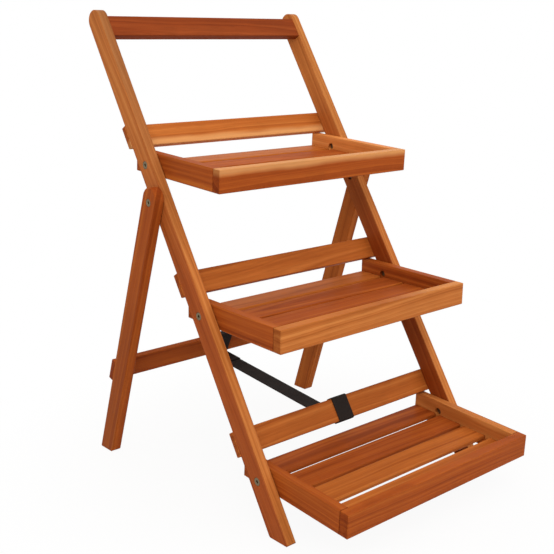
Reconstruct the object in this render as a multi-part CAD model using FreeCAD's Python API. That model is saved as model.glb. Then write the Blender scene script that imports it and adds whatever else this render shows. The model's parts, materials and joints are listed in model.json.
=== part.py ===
import FreeCAD, Part
import math
import os

# A folding plant stand with three trays, in millimetres and degrees. X runs across the stand, Y from
# front to back and Z up. The origin is on the floor, under the middle of the stand's bounding box.
#
# The ladder frame leans back. It is drawn upright first, with Y as the distance behind the front face
# of the stiles and Z as the distance along them, and is then tipped back by the lean.

# ---- stock ----
stile_thick = 20.0
stile_depth = 40.0
rail_width = 44.0
rail_thick = 12.0
leg_thick = 20.0
leg_depth = 40.0
edge_ease = 1.2            # bevel on the edges of stiles, legs and rails
foot_corner = 3.0          # bevel on a foot's two lower corners

# ---- ladder frame ----
frame_width = 510.0        # over the outer faces of the two stiles
stile_length = 1038.0      # from the floor to the rounded top, along the front face
lean = 32.0                # from the vertical
tray_pivots = (711.5, 415.0, 116.0)    # upper, middle and lower tray, along the stile
top_bar_place = 996.0      # middle of the top bar, along the stile
top_bar_width = 43.0
top_bar_thick = 16.0
top_bar_inset = 2.0        # behind the front face of the stiles

# ---- leg frame ----
leg_below_tray = 73.5      # along the stile, from the upper tray's pivot down to the leg's
leg_pivot = tray_pivots[0] - leg_below_tray
leg_spread = 18.5          # from the vertical, open
leg_above_pivot = 28.0
leg_gap = 1.0              # between a leg and its stile
leg_rail_place = 178.0     # middle of the leg rail, from the floor along the leg

# ---- trays ----
tray_names = ("upper_tray", "middle_tray", "lower_tray")
tray_slopes = (3.5, 1.5, 3.5)    # each tray settles a little nose down on its stop
tray_gap = 1.0             # between a tray and each stile
tray_depth = 255.0
tray_height = 42.0
tray_behind_pivot = 60.0
side_thick = 18.0
front_thick = 19.0
board_ease = 1.0
slat_thick = 8.0
slat_width = 52.5
slat_gaps = (9.4, 7.0, 11.7)    # rear to front
slat_drop = 26.0           # from the top edge of the tray down to its slats
slat_end_gap = 0.5         # between a slat's end and the side board
slat_rear_inset = 3.0
slat_ease = 1.5
cleat_width = 12.0

# ---- glued stub tenons ----
tenon_thick = 8.0
tenon_shoulder = 8.0       # from the edge of the board to its tenon
bar_tenon_length = 12.0    # of the top bar, into a stile
side_tenon_length = 10.0   # of a side board, into the front board

# ---- pivot bolts and their nuts ----
bolt_radius = 3.0
bolt_head_radius = 7.0
bolt_head_height = 3.0
bolt_socket_flats = 5.0
bolt_socket_depth = 2.0
nut_flats = 10.0
nut_thick = 5.5
nut_recess_radius = 6.8
nut_recess_depth = 11.0

# ---- rail screws ----
rail_screw_radius = 2.0
rail_screw_head_radius = 4.0
rail_screw_length = 30.0

# ---- webbing strap ----
strap_width = 38.0
strap_thick = 2.0

# ---- clearances ----
running_fit = 0.06         # radial, between a shaft and its hole
seat_gap = 0.3             # between pieces of different bodies that bear on each other
head_gap = 0.2             # under a nut that a board turns against
recess_room = 0.3          # radial, round a bolt head in its recess
glue_gap = 0.1             # round a tenon in its mortise

X_AXIS = FreeCAD.Vector(1, 0, 0)
ORIGIN = FreeCAD.Vector(0, 0, 0)


def point(x, y, z):
    return FreeCAD.Vector(x, y, z)


def spread(low, high, first, last):
    """A box by its lowest and highest corner in X, with (y, z) pairs for the other two ways."""
    size = (high - low, last[0] - first[0], last[1] - first[1])
    return Part.makeBox(*size, point(low, first[0], first[1]))


def runs_along(edge, axis):
    """True for a straight edge that runs along one of the three axes, given as 0, 1 or 2."""
    if edge.Curve.TypeId != "Part::GeomLine":
        return False
    way = edge.Curve.Direction
    return abs((way.x, way.y, way.z)[axis]) > 0.999


def edges_along(solid, axes):
    return [edge for edge in solid.Edges if any(runs_along(edge, axis) for axis in axes)]


def bevelled(solid, axes, size):
    """Takes a flat bevel off the straight edges that run along the given axes."""
    return solid.makeChamfer(size, edges_along(solid, axes))


def rod(radius, start, end):
    """A round bar across the stand, from one X to another, on the X axis."""
    return Part.makeCylinder(radius, end - start, point(start, 0, 0), X_AXIS)


def mirrored(solid):
    """The same piece on the right of the stand."""
    return solid.mirror(ORIGIN, X_AXIS)


def both_sides(solids):
    return solids + [mirrored(solid) for solid in solids]


def group(solids):
    return Part.makeCompound(solids)


# ---- placing ----

def tipped_back(solid):
    """From the upright ladder frame to its leaning place."""
    return solid.rotated(ORIGIN, X_AXIS, -lean)


def ladder_point(behind, along):
    """The place of a point of the upright ladder frame, seen from the side, once it leans."""
    angle = math.radians(lean)
    y = behind * math.cos(angle) + along * math.sin(angle)
    z = along * math.cos(angle) - behind * math.sin(angle)
    return y, z


def pivot_point(along):
    """A pivot lies in the middle of the stile's depth."""
    return ladder_point(stile_depth / 2, along)


def at_pivot(solid, along, angle):
    """From a frame with its origin on the pivot's axis to its place, turned by an angle."""
    y, z = pivot_point(along)
    return solid.rotated(ORIGIN, X_AXIS, angle).translated(point(0, y, z))


# ---- fasteners, drawn on the X axis with the head's outer face at X = 0 ----

def hexagon(flats, start, end):
    """A six-sided bar on the X axis, by the distance over its flats."""
    corner = flats / math.sqrt(3)
    corners = []
    for turn in range(7):
        angle = math.radians(60 * turn)
        corners.append(point(start, corner * math.cos(angle), corner * math.sin(angle)))
    return Part.Face(Part.makePolygon(corners)).extrude(point(end - start, 0, 0))


def pivot_bolt(length):
    """A bolt with a flat round head and a hexagon socket."""
    head = rod(bolt_head_radius, 0, bolt_head_height).cut(hexagon(bolt_socket_flats, 0, bolt_socket_depth))
    return head.fuse(rod(bolt_radius, bolt_head_height, length)).removeSplitter()


def pivot_nut(start):
    return hexagon(nut_flats, start, start + nut_thick).cut(rod(bolt_radius + running_fit, start, start + nut_thick))


def rail_screw():
    """A wood screw with a flat countersunk head. It cuts its own seat, so it overlaps the wood."""
    head_height = rail_screw_head_radius - rail_screw_radius
    head = Part.makeCone(rail_screw_head_radius, rail_screw_radius, head_height, ORIGIN, X_AXIS)
    return head.fuse(rod(rail_screw_radius, head_height, rail_screw_length)).removeSplitter()


# ---- ladder frame, drawn upright ----

half_frame = frame_width / 2
stile_inner = half_frame - stile_thick
bolt_length_tray = stile_thick + tray_gap + side_thick - nut_recess_depth + head_gap + nut_thick
bolt_length_leg = leg_thick + leg_gap + stile_thick - nut_recess_depth + head_gap + nut_thick


def side_profile(outline, start, thickness):
    """A post from its outline in the side view: both faces bevelled, and the foot's two corners."""
    blank = Part.Face(Part.Wire(outline)).extrude(point(thickness, 0, 0))
    foot_top = blank.BoundBox.ZMin + stile_depth
    rims = [edge for edge in blank.Edges if edge.BoundBox.XLength < 0.01 and edge.CenterOfMass.z > foot_top]
    blank = blank.makeChamfer(edge_ease, rims)
    corners = [edge for edge in edges_along(blank, (0,)) if edge.CenterOfMass.z < foot_top]
    return blank.makeChamfer(foot_corner, corners).translated(point(start, 0, 0))


def post_outline(depth, front, foot_front, foot_back, top):
    """A post seen from the side: a slanted foot, straight sides and a half-round top."""
    back = front + depth
    shoulder = top - depth / 2
    low_front = point(0, front, foot_front)
    low_back = point(0, back, foot_back)
    high_front = point(0, front, shoulder)
    high_back = point(0, back, shoulder)
    crown = Part.Arc(high_front, point(0, front + depth / 2, top), high_back)
    return [
        Part.LineSegment(low_front, high_front).toShape(),
        crown.toShape(),
        Part.LineSegment(high_back, low_back).toShape(),
        Part.LineSegment(low_back, low_front).toShape(),
    ]


def rail_low_edge(tray):
    """Where a rail's lower edge lies along the stile, so that the tray's top edge bears up against it.

    The tray meets the rail just before the bevel on its lower back edge, seat_gap apart.
    """
    angle = math.radians(lean + tray_slopes[tray])
    reach = tray_height / 2 + seat_gap
    behind = stile_depth / 2 + rail_thick - edge_ease
    return tray_pivots[tray] + (reach + behind * math.sin(angle)) / math.cos(angle)


def rail_middle(tray):
    return rail_low_edge(tray) + rail_width / 2


def screw_forward(x, behind, z):
    """A rail screw driven from the back towards the front, its head's face at the given distance."""
    turned = rail_screw().rotated(ORIGIN, point(0, 0, 1), -90)
    return turned.translated(point(x, behind, z))


def bar_tenon(room=0.0):
    """The top bar's left tenon, or its mortise in the stile if it is given some room."""
    start = -stile_inner - bar_tenon_length - room
    middle = top_bar_inset + top_bar_thick / 2
    half = top_bar_width / 2 - tenon_shoulder + room
    low = (middle - tenon_thick / 2 - room, top_bar_place - half)
    high = (middle + tenon_thick / 2 + room, top_bar_place + half)
    return spread(start, -stile_inner, low, high)


def pivot_hole(outer_face, wall, head_side):
    """The hole through a wall for a pivot bolt, with the recess of its head or of its nut."""
    inner_face = outer_face + wall
    hole = rod(bolt_radius + running_fit, outer_face, inner_face)
    if head_side:
        recess = rod(bolt_head_radius + recess_room, outer_face, outer_face + bolt_head_height)
    else:
        recess = rod(nut_recess_radius, inner_face - nut_recess_depth, inner_face)
    return hole.fuse(recess)


def left_stile():
    foot_back = stile_depth * math.tan(math.radians(lean))
    outline = post_outline(stile_depth, 0, 0, foot_back, stile_length)
    stile = side_profile(outline, -half_frame, stile_thick)
    holes = []
    for along in tray_pivots:
        place = point(0, stile_depth / 2, along)
        holes.append(pivot_hole(-half_frame, stile_thick, True).translated(place))
    leg_place = point(0, stile_depth / 2, leg_pivot)
    holes.append(pivot_hole(-half_frame, stile_thick, False).translated(leg_place))
    return stile.cut(holes + [bar_tenon(glue_gap)])


def top_bar():
    low = (top_bar_inset, top_bar_place - top_bar_width / 2)
    high = (top_bar_inset + top_bar_thick, top_bar_place + top_bar_width / 2)
    bar = bevelled(spread(-stile_inner, stile_inner, low, high), (0,), board_ease)
    return bar.fuse(both_sides([bar_tenon()]))


def cross_rail(half_length, behind, middle):
    """A rail that lies on the back faces of two posts, with every edge bevelled."""
    low = (behind, middle - rail_width / 2)
    high = (behind + rail_thick, middle + rail_width / 2)
    return bevelled(spread(-half_length, half_length, low, high), (0, 1, 2), edge_ease)


def ladder_pieces():
    stile = left_stile()
    pieces = {"stile_left": stile, "stile_right": mirrored(stile), "top_bar": top_bar()}
    screws = []
    for tray, name in enumerate(("rail_upper", "rail_middle", "rail_lower")):
        pieces[name] = cross_rail(half_frame, stile_depth, rail_middle(tray))
        across = -half_frame + stile_thick / 2
        screws.append(screw_forward(across, stile_depth + rail_thick, rail_middle(tray)))
    pieces["rail_screws"] = group(both_sides(screws))
    bolts = []
    nuts = []
    nut_start = bolt_length_tray - nut_thick
    for along in tray_pivots:
        place = point(-half_frame, stile_depth / 2, along)
        bolts.append(pivot_bolt(bolt_length_tray).translated(place))
        nuts.append(pivot_nut(nut_start).translated(place))
    pieces["tray_pivot_bolts"] = group(both_sides(bolts))
    pieces["tray_pivot_nuts"] = group(both_sides(nuts))
    return {name: tipped_back(solid) for name, solid in pieces.items()}


# ---- leg frame, drawn upright with its pivot's axis on the X axis ----

leg_outer = half_frame + leg_gap + leg_thick


def leg_foot(behind):
    """How far below the pivot the floor cuts the leg, at a distance behind its middle."""
    height = pivot_point(leg_pivot)[1]
    angle = math.radians(leg_spread)
    return -(height + behind * math.sin(angle)) / math.cos(angle)


def leg_rail_middle():
    return leg_foot(0) + leg_rail_place


def left_leg():
    half = leg_depth / 2
    outline = post_outline(leg_depth, -half, leg_foot(-half), leg_foot(half), leg_above_pivot)
    leg = side_profile(outline, -leg_outer, leg_thick)
    return leg.cut(pivot_hole(-leg_outer, leg_thick, True))


def leg_pieces():
    leg = left_leg()
    pieces = {"leg_left": leg, "leg_right": mirrored(leg)}
    pieces["leg_rail"] = cross_rail(leg_outer, leg_depth / 2, leg_rail_middle())
    across = -leg_outer + leg_thick / 2
    screw = screw_forward(across, leg_depth / 2 + rail_thick, leg_rail_middle())
    pieces["leg_rail_screws"] = group(both_sides([screw]))
    bolt = pivot_bolt(bolt_length_leg).translated(point(-leg_outer, 0, 0))
    nut = pivot_nut(bolt_length_leg - nut_thick).translated(point(-leg_outer, 0, 0))
    pieces["leg_pivot_bolts"] = group(both_sides([bolt]))
    pieces["leg_pivot_nuts"] = group(both_sides([nut]))
    return {name: at_pivot(solid, leg_pivot, leg_spread) for name, solid in pieces.items()}


# ---- trays, drawn level with their pivot's axis on the X axis ----

half_tray = stile_inner - tray_gap
tray_inner = half_tray - side_thick
tray_front = tray_behind_pivot - tray_depth
tray_top = tray_height / 2
front_back = tray_front + front_thick
slat_top = tray_top - slat_drop
slat_bottom = slat_top - slat_thick


def side_tenon(room=0.0):
    """The left side board's tenon, or its mortise in the front board if it is given some room."""
    middle = -half_tray + side_thick / 2
    half = tenon_thick / 2 + room
    top = tray_top - tenon_shoulder + room
    low = (front_back - side_tenon_length - room, -top)
    return spread(middle - half, middle + half, low, (front_back, top))


def tray_side():
    """The left side board, with its bolt hole and the nut's recess in its inner face."""
    board = spread(-half_tray, -tray_inner, (front_back, -tray_top), (tray_behind_pivot, tray_top))
    board = bevelled(board, (1,), board_ease)
    rear = [edge for edge in board.Edges if edge.BoundBox.YMin > tray_behind_pivot - 0.01]
    board = board.makeChamfer(board_ease, rear)
    return board.fuse(side_tenon()).cut(pivot_hole(-half_tray, side_thick, False))


def tray_front_board():
    board = spread(-half_tray, half_tray, (tray_front, -tray_top), (front_back, tray_top))
    board = bevelled(board, (0, 1, 2), board_ease)
    return board.cut(both_sides([side_tenon(glue_gap)]))


def slat_spans():
    """The front and back edge of each slat, from the rear slat to the front one.

    The front slat is ripped to fill what is left, up to the front board.
    """
    spans = []
    back = tray_behind_pivot - slat_rear_inset
    for gap in slat_gaps:
        spans.append((back - slat_width, back))
        back = back - slat_width - gap
    spans.append((front_back, back))
    return spans


def tray_slat(span):
    end = tray_inner - slat_end_gap
    slat = spread(-end, end, (span[0], slat_bottom), (span[1], slat_top))
    return bevelled(slat, (0,), slat_ease)


def tray_cleat():
    """The left batten that carries the slats' ends, flush with the tray's lower edge."""
    rear = tray_behind_pivot - slat_rear_inset
    return spread(-tray_inner, cleat_width - tray_inner, (front_back, -tray_top), (rear, slat_bottom))


def tray_pieces(tray):
    name = tray_names[tray]
    side = tray_side()
    cleat = tray_cleat()
    pieces = {name + "_side_left": side, name + "_side_right": mirrored(side)}
    pieces[name + "_front"] = tray_front_board()
    for number, span in enumerate(slat_spans(), 1):
        pieces[name + "_slat_" + str(number)] = tray_slat(span)
    pieces[name + "_cleat_left"] = cleat
    pieces[name + "_cleat_right"] = mirrored(cleat)
    return {key: at_pivot(solid, tray_pivots[tray], tray_slopes[tray]) for key, solid in pieces.items()}


# ---- strap ----

lower_tray = len(tray_names) - 1


def rail_envelope(behind, middle, room):
    """The outline of a rail as wide as the strap, grown all round, in the frame of the rail."""
    half = strap_width / 2
    low = (behind - room, middle - rail_width / 2 - room)
    high = (behind + rail_thick + room, middle + rail_width / 2 + room)
    return bevelled(spread(-half, half, low, high), (0,), edge_ease + room / 2)


def ladder_envelope(room):
    """Round the lower rail, where it leans."""
    return tipped_back(rail_envelope(stile_depth, rail_middle(lower_tray), room))


def leg_envelope(room):
    """Round the leg rail, where it leans."""
    return at_pivot(rail_envelope(leg_depth / 2, leg_rail_middle(), room), leg_pivot, leg_spread)


def strap_span():
    """The taut stretch between the two loops, from the lower rail's back to the leg rail's front.

    It runs between the rails' lower edges and is cut off where it meets the loops.
    """
    low_edge = rail_low_edge(lower_tray) + edge_ease
    start = point(0, *ladder_point(stile_depth + rail_thick - edge_ease, low_edge))
    angle = math.radians(leg_spread)
    behind = leg_depth / 2 + edge_ease
    below = leg_rail_middle() - rail_width / 2 + edge_ease
    pivot_y, pivot_z = pivot_point(leg_pivot)
    end_y = pivot_y + behind * math.cos(angle) - below * math.sin(angle)
    end_z = pivot_z + behind * math.sin(angle) + below * math.cos(angle)
    run = point(0, end_y - start.y, end_z - start.z)
    tilt = math.degrees(math.atan2(run.z, run.y))
    half = strap_width / 2
    band = spread(-half, half, (0, -strap_thick / 2), (run.Length, strap_thick / 2))
    band = band.rotated(ORIGIN, X_AXIS, tilt).translated(start)
    room = seat_gap + strap_thick + seat_gap
    return band.cut([ladder_envelope(room), leg_envelope(room)])


def strap_pieces():
    outer = seat_gap + strap_thick
    return {
        "strap_ladder_loop": ladder_envelope(outer).cut(ladder_envelope(seat_gap)),
        "strap_leg_loop": leg_envelope(outer).cut(leg_envelope(seat_gap)),
        "strap_span": strap_span(),
    }


# ---- the whole stand ----

def all_pieces():
    pieces = {}
    pieces.update(ladder_pieces())
    pieces.update(leg_pieces())
    for tray in range(len(tray_names)):
        pieces.update(tray_pieces(tray))
    pieces.update(strap_pieces())
    return pieces


def to_origin(pieces):
    """How far the stand moves along Y to bring the middle of its bounding box over the origin."""
    box = group(list(pieces.values())).optimalBoundingBox(False, False)
    return -(box.YMin + box.YMax) / 2


stand = all_pieces()
y_shift = to_origin(stand)
os.makedirs("parts", exist_ok=True)
for node, piece in stand.items():
    piece.translated(point(0, y_shift, 0)).exportStep("parts/" + node + ".step")
print("pieces", len(stand), "moved along Y by", round(y_shift, 3))
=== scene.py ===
"""The looks of a folding plant stand: oiled acacia boards, zinc plated fasteners and a webbing strap."""
import json
import logging
import math
import random
from collections.abc import Callable
from dataclasses import dataclass, field
from enum import Enum

import bmesh
import bpy
from mathutils import Matrix, Vector


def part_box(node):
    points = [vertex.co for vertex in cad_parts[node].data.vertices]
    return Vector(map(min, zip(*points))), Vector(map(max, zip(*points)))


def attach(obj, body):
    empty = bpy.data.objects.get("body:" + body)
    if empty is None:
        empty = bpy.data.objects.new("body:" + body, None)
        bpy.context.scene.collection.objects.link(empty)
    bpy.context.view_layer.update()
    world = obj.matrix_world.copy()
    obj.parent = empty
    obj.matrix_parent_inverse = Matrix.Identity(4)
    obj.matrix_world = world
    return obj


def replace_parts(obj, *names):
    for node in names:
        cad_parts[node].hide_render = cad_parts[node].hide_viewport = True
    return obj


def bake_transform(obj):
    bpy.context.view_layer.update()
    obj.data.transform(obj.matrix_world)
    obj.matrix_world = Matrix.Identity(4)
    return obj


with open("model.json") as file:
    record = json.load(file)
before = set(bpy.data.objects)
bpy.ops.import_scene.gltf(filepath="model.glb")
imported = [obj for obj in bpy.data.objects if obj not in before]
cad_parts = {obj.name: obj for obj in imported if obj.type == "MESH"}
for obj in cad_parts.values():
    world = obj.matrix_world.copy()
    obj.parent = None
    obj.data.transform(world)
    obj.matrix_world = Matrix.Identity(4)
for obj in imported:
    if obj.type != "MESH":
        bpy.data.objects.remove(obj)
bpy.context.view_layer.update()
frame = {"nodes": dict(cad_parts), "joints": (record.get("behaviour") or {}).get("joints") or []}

log = logging.getLogger("plant_stand")

Tree = bpy.types.NodeTree
Socket = bpy.types.NodeSocket
Place = tuple[float, float, float]
Ring = list[Place]

MM = 0.001
PHOTO_PIXELS = 554

LADDER_TILT = -32.0
LEG_TILT = 18.5
RAIL_THICK_MM = 12.0


def srgb(hex_colour: str) -> tuple[float, float, float, float]:
    """Turns a written colour into the linear colour that a shader takes.

    Args:
        hex_colour: Six hex digits, red first.

    Returns:
        Linear red, green, blue and an alpha of 1.
    """
    channels = []
    for place in (0, 2, 4):
        value = int(hex_colour[place:place + 2], 16) / 255
        channels.append(value / 12.92 if value <= 0.04045 else ((value + 0.055) / 1.055) ** 2.4)
    return (*channels, 1.0)


def add_node(tree: Tree, kind: str, settings: dict[str, object] | None = None,
             inputs: dict[str | int, object] | None = None) -> bpy.types.Node:
    """Adds a node with its settings, and links or sets its inputs.

    Args:
        tree: The node tree that gets the node.
        kind: The node's type name.
        settings: The node's own properties by name.
        inputs: What each input takes, by its name or number: a socket to link, or a value to set.

    Returns:
        The new node.
    """
    made = tree.nodes.new(kind)
    for name, value in (settings or {}).items():
        setattr(made, name, value)
    for key, value in (inputs or {}).items():
        socket = made.inputs[key]
        if isinstance(value, Socket):
            tree.links.new(value, socket)
        else:
            socket.default_value = value
    return made


def new_material(name: str) -> tuple[bpy.types.Material, Tree]:
    """Makes an empty node material.

    Args:
        name: The material's name.

    Returns:
        The material and its node tree.
    """
    material = bpy.data.materials.new(name)
    material.use_nodes = True
    material.node_tree.nodes.clear()
    return material, material.node_tree


def finish_surface(tree: Tree, inputs: dict[str | int, object]) -> None:
    """Ends a material in one principled shader with the given inputs."""
    shader = add_node(tree, "ShaderNodeBsdfPrincipled", inputs=inputs)
    add_node(tree, "ShaderNodeOutputMaterial", inputs={"Surface": shader.outputs["BSDF"]})


# ---- finishes ----

class Tone(Enum):
    """The colour of a board: its dark veins, its body and its pale bands."""

    RED = ("66260C", "853A15", "A05024")
    RUST = ("782F0D", "A04C1B", "BE6828")
    ORANGE = ("8A3F13", "B26026", "CC7C3A")
    GOLDEN = ("944C1A", "BC6E34", "D68E4C")
    AMBER = ("A8581E", "D88442", "EAA460")
    BROWN = ("6C2E0B", "8E4214", "AC5E24")


class Runs(Enum):
    """Which way a board's grain runs, in the upright drawing of its frame."""

    ACROSS = ((1, 0, 0), (0, 1, 0), (0, 0, 1))
    BACKWARD = ((0, 1, 0), (0, 0, 1), (1, 0, 0))
    UPWARD = ((0, 0, 1), (1, 0, 0), (0, 1, 0))

    @property
    def end_tone(self) -> str:
        """What the cut ends are darkened by. The cut ends of posts are darkened less."""
        return "F4E8D8" if self is Runs.UPWARD else "D8C6B4"


@dataclass(frozen=True)
class OiledAcacia:
    """Planed acacia, a hard tropical timber, wiped with teak oil.

    The oil deepens the red and orange and leaves a satin sheen. Bands of colour follow the growth
    rings, short dark pores run along the grain, and the cut ends drink more oil, so they are darker.
    A post has painted shade, each part with its tint: its flanks darken towards the foot and its front and
    back towards the head. A board may keep a pale edge of sapwood, whose border lies at a height from the
    board's middle, towards its upper or lower edge.
    """

    name: str
    tone: Tone
    runs: Runs
    tilt: float
    centre: Vector
    half_length: float
    # Painted shade tints: one for the front and back near the head, one for the flanks near the foot.
    head_and_foot: tuple[str, str] | None = None
    sapwood_from_mm: float | None = None
    sapwood_up: int = 1
    sapwood: str = "DCA266"
    sapwood_share: float = 0.6
    sapwood_wander_mm: float = 14.0
    log_reach_m: Place = (9.0, 0.2, 0.2)
    heart_near_m: float = 0.02
    heart_far_m: float = 0.09
    taper: float = 0.035
    ring_wander_m: float = 0.016
    ring_mm: float = 8.0
    late_wood_mm: float = 2.0
    streak_mm: float = 14.0
    pore_mm: float = 1.1
    pore_length_mm: float = 30.0
    band_share: float = 0.55
    tone_stops: Place = (0.20, 0.50, 0.82)
    gloss: tuple[float, float] = (0.42, 0.56)
    foot_reach: float = -0.1
    head_reach: float = 0.7
    edge_round_mm: float = 1.2
    edge_line_mm: float = 2.0
    edge_depth: float = 0.72
    relief_mm: float = 0.3

    def grain_turn(self) -> Matrix:
        """The rotation from the grain's axes, with X along the grain, to the stand's."""
        axes = Matrix(self.runs.value).transposed()
        return Matrix.Rotation(math.radians(self.tilt), 3, "X") @ axes

    def material(self) -> bpy.types.Material:
        """Builds the board's material.

        Returns:
            A material whose rings, streaks and pores lie along this board's grain.
        """
        material, tree = new_material("oiled_acacia_" + self.name)
        chance = random.Random(self.name)
        turn = self.grain_turn()
        in_log = Vector([chance.uniform(-reach, reach) for reach in self.log_reach_m])
        place = add_node(tree, "ShaderNodeTexCoord").outputs
        grain = add_node(tree, "ShaderNodeMapping", {"vector_type": "TEXTURE"}, {
            "Vector": place["Object"],
            "Location": self.centre - turn @ in_log,
            "Rotation": turn.to_euler("XYZ"),
        }).outputs["Vector"]
        rings = self.ring_distance(tree, grain, chance)
        late = self.noise(tree, rings, self.late_wood_mm, one_way=True)
        fibre = self.noise(tree, self.stretched(tree, grain, self.pore_length_mm, self.pore_mm))
        colour = self.colour(tree, grain, rings, late, fibre)
        colour = self.pale_edge(tree, grain, in_log, colour)
        colour = self.along_post(tree, grain, place["Normal"], in_log, colour)
        colour = self.along_edges(tree, colour)
        cut_end = self.cut_end(tree, place["Normal"], turn)
        darker = add_node(tree, "ShaderNodeMix", {"data_type": "RGBA", "blend_type": "MULTIPLY"}, {
            0: cut_end, 6: colour, 7: srgb(self.runs.end_tone)}).outputs[2]
        gloss = add_node(tree, "ShaderNodeMapRange", inputs={
            "Value": fibre, "From Min": 0.3, "From Max": 0.7,
            "To Min": self.gloss[0], "To Max": self.gloss[1]}).outputs[0]
        finish_surface(tree, {
            "Base Color": darker, "Roughness": gloss, "Specular IOR Level": 0.065, "IOR": 1.4,
            "Normal": self.relief(tree, fibre, late),
        })
        return material

    def stretched(self, tree: Tree, grain: Socket, along_mm: float, across_mm: float) -> Socket:
        """The grain's coordinates, counted in features of the given length and width."""
        across = 1 / (across_mm * MM)
        return add_node(tree, "ShaderNodeVectorMath", {"operation": "MULTIPLY"}, {
            0: grain, 1: (1 / (along_mm * MM), across, across)}).outputs[0]

    def noise(self, tree: Tree, source: Socket, feature_mm: float = 1000.0, detail: float = 2.0,
              one_way: bool = False) -> Socket:
        """Soft random values along a distance or through space, in features of a metre or the given size."""
        dimensions, entry = ("1D", "W") if one_way else ("3D", "Vector")
        return add_node(tree, "ShaderNodeTexNoise", {"noise_dimensions": dimensions}, {
            entry: source, "Scale": 1 / (feature_mm * MM), "Detail": detail, "Roughness": 0.55}).outputs[0]

    def ring_distance(self, tree: Tree, grain: Socket, chance: random.Random) -> Socket:
        """Measures how far a point lies from the heart of the tree, wandering along the board.

        Args:
            tree: The material's node tree.
            grain: Coordinates with X along the grain, in metres.
            chance: The board's own random numbers.

        Returns:
            The distance in metres.
        """
        near, far = self.heart_near_m, self.heart_far_m
        heart = (0.0, chance.uniform(near, far), chance.uniform(-far, -near))
        taper = chance.uniform(-self.taper, self.taper)
        wander = self.noise(tree, self.stretched(tree, grain, 330.0, 80.0))
        split = add_node(tree, "ShaderNodeSeparateXYZ", inputs={0: grain}).outputs
        from_heart = add_node(tree, "ShaderNodeCombineXYZ", inputs={
            "Y": split["Y"], "Z": split["Z"]}).outputs[0]
        offset = add_node(tree, "ShaderNodeVectorMath", {"operation": "ADD"}, {
            0: from_heart, 1: heart}).outputs[0]
        reach = add_node(tree, "ShaderNodeVectorMath", {"operation": "LENGTH"}, {0: offset}).outputs["Value"]
        tapered = add_node(tree, "ShaderNodeMath", {"operation": "MULTIPLY_ADD"}, {
            0: split["X"], 1: taper, 2: reach}).outputs[0]
        return add_node(tree, "ShaderNodeMath", {"operation": "MULTIPLY_ADD"}, {
            0: wander, 1: self.ring_wander_m, 2: tapered}).outputs[0]

    def colour(self, tree: Tree, grain: Socket, rings: Socket, late: Socket, fibre: Socket) -> Socket:
        """Mixes the board's three tones by rings and streaks, then darkens late wood and pores.

        Args:
            tree: The material's node tree.
            grain: Coordinates with X along the grain, in metres.
            rings: The distance from the heart of the tree.
            late: Random values that follow the late wood.
            fibre: Random values that follow the pores.

        Returns:
            The board's colour.
        """
        bands = self.noise(tree, rings, self.ring_mm, one_way=True)
        streaks = self.noise(tree, self.stretched(tree, grain, 400.0, self.streak_mm), detail=3.0)
        mottle = self.noise(tree, self.stretched(tree, grain, 90.0, 60.0))
        banded = add_node(tree, "ShaderNodeMath", {"operation": "MULTIPLY"}, {
            0: bands, 1: self.band_share}).outputs[0]
        blend = add_node(tree, "ShaderNodeMath", {"operation": "MULTIPLY_ADD"}, {
            0: streaks, 1: 1 - self.band_share, 2: banded}).outputs[0]
        ramp = add_node(tree, "ShaderNodeValToRGB", inputs={0: blend})
        stops = ramp.color_ramp.elements
        stops[0].position, stops[1].position = self.tone_stops[0], self.tone_stops[2]
        stops.new(self.tone_stops[1])
        for stop, tone in zip(stops, self.tone.value):
            stop.color = srgb(tone)
        shade = ramp.outputs[0]
        # Each mark darkens where its values are low, down to a share of the colour.
        marks = ((late, 0.35, 0.62, 0.92), (fibre, 0.30, 0.50, 0.86), (mottle, 0.30, 0.70, 0.90))
        for source, low, high, darkest in marks:
            depth = add_node(tree, "ShaderNodeMapRange", inputs={
                "Value": source, "From Min": low, "From Max": high, "To Min": darkest}).outputs[0]
            shade = add_node(tree, "ShaderNodeMix", {"data_type": "RGBA", "blend_type": "MULTIPLY"}, {
                0: 1.0, 6: shade, 7: depth}).outputs[2]
        return shade

    def pale_edge(self, tree: Tree, grain: Socket, in_log: Vector, shade: Socket) -> Socket:
        """Lays a pale band with a wavy border along one edge, where the board keeps the tree's outer wood.

        Args:
            tree: The material's node tree.
            grain: Coordinates with X along the grain, in metres.
            in_log: Where the board's middle lies in those coordinates.
            shade: The colour so far.

        Returns:
            The colour with the band, or the same colour on a board without sapwood.
        """
        if self.sapwood_from_mm is None:
            return shade
        height = add_node(tree, "ShaderNodeSeparateXYZ", inputs={0: grain}).outputs["Z"]
        wave = self.noise(tree, self.stretched(tree, grain, 120.0, 400.0))
        wavy = add_node(tree, "ShaderNodeMath", {"operation": "MULTIPLY_ADD"}, {
            0: wave, 1: self.sapwood_wander_mm * MM, 2: height}).outputs[0]
        border = in_log.z + (self.sapwood_up * self.sapwood_from_mm + self.sapwood_wander_mm / 2) * MM
        share = add_node(tree, "ShaderNodeMapRange", inputs={
            "Value": wavy, "From Min": border - 4 * self.sapwood_up * MM,
            "From Max": border + 5 * self.sapwood_up * MM,
            "To Max": self.sapwood_share}).outputs[0]
        return add_node(tree, "ShaderNodeMix", {"data_type": "RGBA"}, {
            0: share, 6: shade, 7: srgb(self.sapwood)}).outputs[2]

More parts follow.
